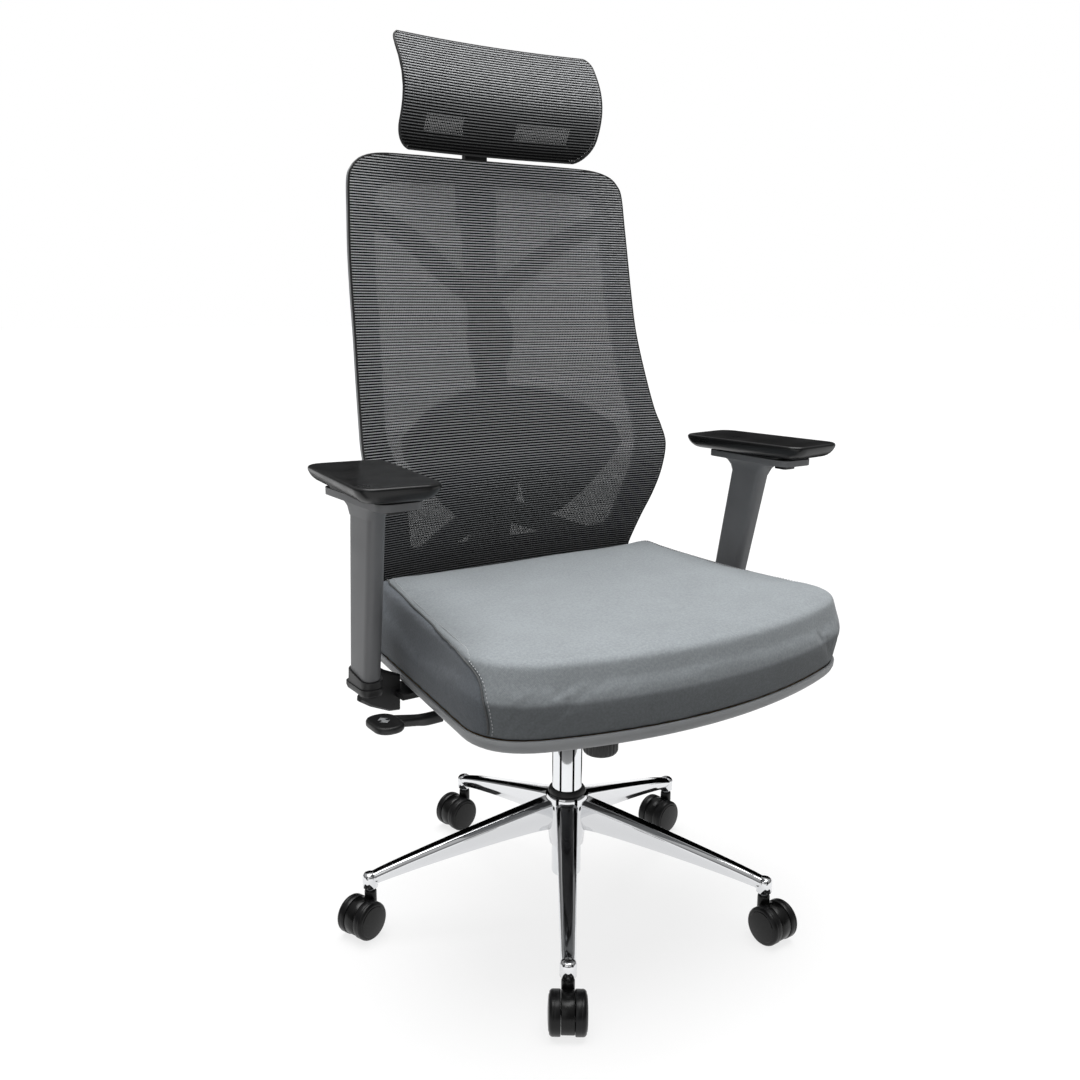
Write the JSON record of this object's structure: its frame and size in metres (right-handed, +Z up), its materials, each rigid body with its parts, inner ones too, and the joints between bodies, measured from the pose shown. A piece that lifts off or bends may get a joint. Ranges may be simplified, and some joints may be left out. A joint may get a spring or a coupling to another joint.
{
  "type": "office chair",
  "caption": "Ergonomic office chair with a mesh back, adjustable headrest and arms, a padded seat, gas lift and a five-leg base on casters.",
  "frame": {"origin": "on the floor, under the centre of the object and on the axis of the gas lift", "axes": "+Z up, the sitter faces -Y, +X to the sitter's left"},
  "size_m": [0.6956, 0.5835, 1.122],
  "materials": {
    "polished_aluminium": "polished",
    "chrome": "polished",
    "steel": "satin",
    "black_plastic": "satin moulded",
    "caster_plastic": "satin moulded nylon",
    "shell_plastic": "satin moulded",
    "plywood": "raw",
    "seat_fabric": "fine woven",
    "arm_plastic": "satin painted",
    "pad_skin": "soft-touch",
    "mesh_fabric": "knitted mesh"
  },
  "bodies": {
    "base": {"star_base": "polished_aluminium", "lift_tube": "chrome", "guide_bush": "black_plastic", "hub_collar": "black_plastic", "thrust_bearing": "steel"},
    "caster_1": {"caster_hood_1": "caster_plastic", "caster_stem_1": "steel"},
    "wheel_1a": {"caster_wheel_1a": "caster_plastic"},
    "wheel_1b": {"caster_wheel_1b": "caster_plastic"},
    "caster_2": {"caster_hood_2": "caster_plastic", "caster_stem_2": "steel"},
    "wheel_2a": {"caster_wheel_2a": "caster_plastic"},
    "wheel_2b": {"caster_wheel_2b": "caster_plastic"},
    "caster_3": {"caster_hood_3": "caster_plastic", "caster_stem_3": "steel"},
    "wheel_3a": {"caster_wheel_3a": "caster_plastic"},
    "wheel_3b": {"caster_wheel_3b": "caster_plastic"},
    "caster_4": {"caster_hood_4": "caster_plastic", "caster_stem_4": "steel"},
    "wheel_4a": {"caster_wheel_4a": "caster_plastic"},
    "wheel_4b": {"caster_wheel_4b": "caster_plastic"},
    "caster_5": {"caster_hood_5": "caster_plastic", "caster_stem_5": "steel"},
    "wheel_5a": {"caster_wheel_5a": "caster_plastic"},
    "wheel_5b": {"caster_wheel_5b": "caster_plastic"},
    "lift_rod": {"piston_rod": "steel"},
    "mechanism": {"gas_cylinder": "chrome", "mechanism_case": "steel", "front_pin": "steel", "back_pin": "steel", "tilt_spring": "steel"},
    "tension_knob": {"tension_knob": "black_plastic"},
    "lever_slide": {"lever_bush": "black_plastic"},
    "height_lever": {"lever_rod": "steel", "lever_paddle": "black_plastic"},
    "seat": {"seat_plate": "steel", "seat_shell": "shell_plastic", "seat_board": "plywood", "seat_cushion": "seat_fabric", "arm_bracket_right": "black_plastic", "arm_bracket_left": "black_plastic", "arm_post_right": "steel", "arm_post_left": "steel"},
    "back": {"back_bracket": "black_plastic", "back_spine": "black_plastic", "back_frame": "shell_plastic", "back_mesh": "mesh_fabric"},
    "lumbar": {"lumbar_pad": "black_plastic"},
    "headrest_post": {"headrest_post": "black_plastic", "headrest_pin": "steel"},
    "headrest": {"headrest_frame": "black_plastic", "headrest_mesh": "mesh_fabric"},
    "arm_right": {"arm_sleeve_right": "arm_plastic"},
    "arm_button_right": {"arm_button_right": "black_plastic"},
    "pad_carrier_right": {"pad_carrier_right": "black_plastic"},
    "arm_pad_right": {"arm_pad_right": "pad_skin"},
    "arm_left": {"arm_sleeve_left": "arm_plastic"},
    "arm_button_left": {"arm_button_left": "black_plastic"},
    "pad_carrier_left": {"pad_carrier_left": "black_plastic"},
    "arm_pad_left": {"arm_pad_left": "pad_skin"}
  },
  "joints": [
    {"name": "caster_swivel_1", "type": "hinge", "parent": "base", "child": "caster_1", "pos_m": [-0.15314, -0.21871, 0.06], "axis": [0, 0, 1], "continuous": true},
    {"name": "wheel_spin_1a", "type": "hinge", "parent": "caster_1", "child": "wheel_1a", "pos_m": [-0.1629, -0.23264, 0.025], "axis": [0.8192, -0.5736, 0], "continuous": true},
    {"name": "wheel_spin_1b", "type": "hinge", "parent": "caster_1", "child": "wheel_1b", "pos_m": [-0.1629, -0.23264, 0.025], "axis": [0.8192, -0.5736, 0], "continuous": true},
    {"name": "caster_swivel_2", "type": "hinge", "parent": "base", "child": "caster_2", "pos_m": [0.16068, -0.21324, 0.06], "axis": [0, 0, 1], "continuous": true},
    {"name": "wheel_spin_2a", "type": "hinge", "parent": "caster_2", "child": "wheel_2a", "pos_m": [0.16128, -0.23023, 0.025], "axis": [0.9994, 0.0349, 0], "continuous": true},
    {"name": "wheel_spin_2b", "type": "hinge", "parent": "caster_2", "child": "wheel_2b", "pos_m": [0.16128, -0.23023, 0.025], "axis": [0.9994, 0.0349, 0], "continuous": true},
    {"name": "caster_swivel_3", "type": "hinge", "parent": "base", "child": "caster_3", "pos_m": [0.25245, 0.08693, 0.06], "axis": [0, 0, 1], "continuous": true},
    {"name": "wheel_spin_3a", "type": "hinge", "parent": "caster_3", "child": "wheel_3a", "pos_m": [0.23571, 0.08397, 0.025], "axis": [0.1736, -0.9848, 0], "continuous": true},
    {"name": "wheel_spin_3b", "type": "hinge", "parent": "caster_3", "child": "wheel_3b", "pos_m": [0.23571, 0.08397, 0.025], "axis": [0.1736, -0.9848, 0], "continuous": true},
    {"name": "caster_swivel_4", "type": "hinge", "parent": "base", "child": "caster_4", "pos_m": [-0.00466, 0.26696, 0.06], "axis": [0, 0, 1], "continuous": true},
    {"name": "wheel_spin_4a", "type": "hinge", "parent": "caster_4", "child": "wheel_4a", "pos_m": [-0.0214, 0.26401, 0.025], "axis": [0.1736, -0.9848, 0], "continuous": true},
    {"name": "wheel_spin_4b", "type": "hinge", "parent": "caster_4", "child": "wheel_4b", "pos_m": [-0.0214, 0.26401, 0.025], "axis": [0.1736, -0.9848, 0], "continuous": true},
    {"name": "caster_swivel_5", "type": "hinge", "parent": "base", "child": "caster_5", "pos_m": [-0.25533, 0.07806, 0.06], "axis": [0, 0, 1], "continuous": true},
    {"name": "wheel_spin_5a", "type": "hinge", "parent": "caster_5", "child": "wheel_5a", "pos_m": [-0.27131, 0.07225, 0.025], "axis": [0.342, -0.9397, 0], "continuous": true},
    {"name": "wheel_spin_5b", "type": "hinge", "parent": "caster_5", "child": "wheel_5b", "pos_m": [-0.27131, 0.07225, 0.025], "axis": [0.342, -0.9397, 0], "continuous": true},
    {"name": "seat_swivel", "type": "hinge", "parent": "base", "child": "lift_rod", "pos_m": [0, 0, 0.15], "axis": [0, 0, 1], "continuous": true},
    {"name": "seat_height", "type": "slide", "parent": "lift_rod", "child": "mechanism", "axis": [0, 0, 1], "range_m": [0, 0.1]},
    {"name": "tension_turn", "type": "hinge", "parent": "mechanism", "child": "tension_knob", "pos_m": [0, -0.072, 0.25], "axis": [0, 0, 1], "range_deg": [0, 1080]},
    {"name": "tilt_lock_slide", "type": "slide", "parent": "mechanism", "child": "lever_slide", "axis": [-1, 0, 0], "range_m": [0, 0.01]},
    {"name": "height_lever_lift", "type": "hinge", "parent": "lever_slide", "child": "height_lever", "pos_m": [-0.08, -0.03, 0.32], "axis": [0, 1, 0], "range_deg": [0, 4], "stiffness_Nm_per_rad": 4, "springref_deg": -4.58},
    {"name": "back_recline", "type": "hinge", "parent": "mechanism", "child": "back", "pos_m": [0, 0.058, 0.305], "axis": [-1, 0, 0], "range_deg": [0, 20], "stiffness_Nm_per_rad": 60, "springref_deg": -28.65},
    {"name": "seat_tilt", "type": "hinge", "parent": "mechanism", "child": "seat", "pos_m": [0, -0.108, 0.322], "axis": [-1, 0, 0], "range_deg": [0, 8]},
    {"name": "lumbar_height", "type": "slide", "parent": "back", "child": "lumbar", "axis": [0, 0, 1], "range_m": [-0.015, 0.015]},
    {"name": "headrest_height", "type": "slide", "parent": "back", "child": "headrest_post", "axis": [0, 0, 1], "range_m": [0, 0.05]},
    {"name": "headrest_tilt", "type": "hinge", "parent": "headrest_post", "child": "headrest", "pos_m": [0, 0.212, 1.052], "axis": [-1, 0, 0], "range_deg": [0, 30]},
    {"name": "arm_height_right", "type": "slide", "parent": "seat", "child": "arm_right", "axis": [-0.0378, -0.1736, 0.9841], "range_m": [0, 0.07]},
    {"name": "arm_button_press_right", "type": "slide", "parent": "arm_right", "child": "arm_button_right", "axis": [0, 0, 1], "range_m": [0, 0.003], "stiffness_N_per_m": 400, "springref_m": -0.002},
    {"name": "pad_slide_right", "type": "slide", "parent": "arm_right", "child": "pad_carrier_right", "axis": [0, 1, 0], "range_m": [-0.025, 0.02]},
    {"name": "pad_swivel_right", "type": "hinge", "parent": "pad_carrier_right", "child": "arm_pad_right", "pos_m": [-0.292, -0.038, 0.601], "axis": [0, 0, 1], "range_deg": [-20, 14]},
    {"name": "arm_height_left", "type": "slide", "parent": "seat", "child": "arm_left", "axis": [0.0378, -0.1736, 0.9841], "range_m": [0, 0.07]},
    {"name": "arm_button_press_left", "type": "slide", "parent": "arm_left", "child": "arm_button_left", "axis": [0, 0, 1], "range_m": [0, 0.003], "stiffness_N_per_m": 400, "springref_m": -0.002},
    {"name": "pad_slide_left", "type": "slide", "parent": "arm_left", "child": "pad_carrier_left", "axis": [0, 1, 0], "range_m": [-0.025, 0.02]},
    {"name": "pad_swivel_left", "type": "hinge", "parent": "pad_carrier_left", "child": "arm_pad_left", "pos_m": [0.292, -0.038, 0.601], "axis": [0, 0, 1], "range_deg": [-14, 20]}
  ],
  "couplings": [
    {"joint": "seat_tilt", "follows": "back_recline", "ratio": 0.4}
  ]
}
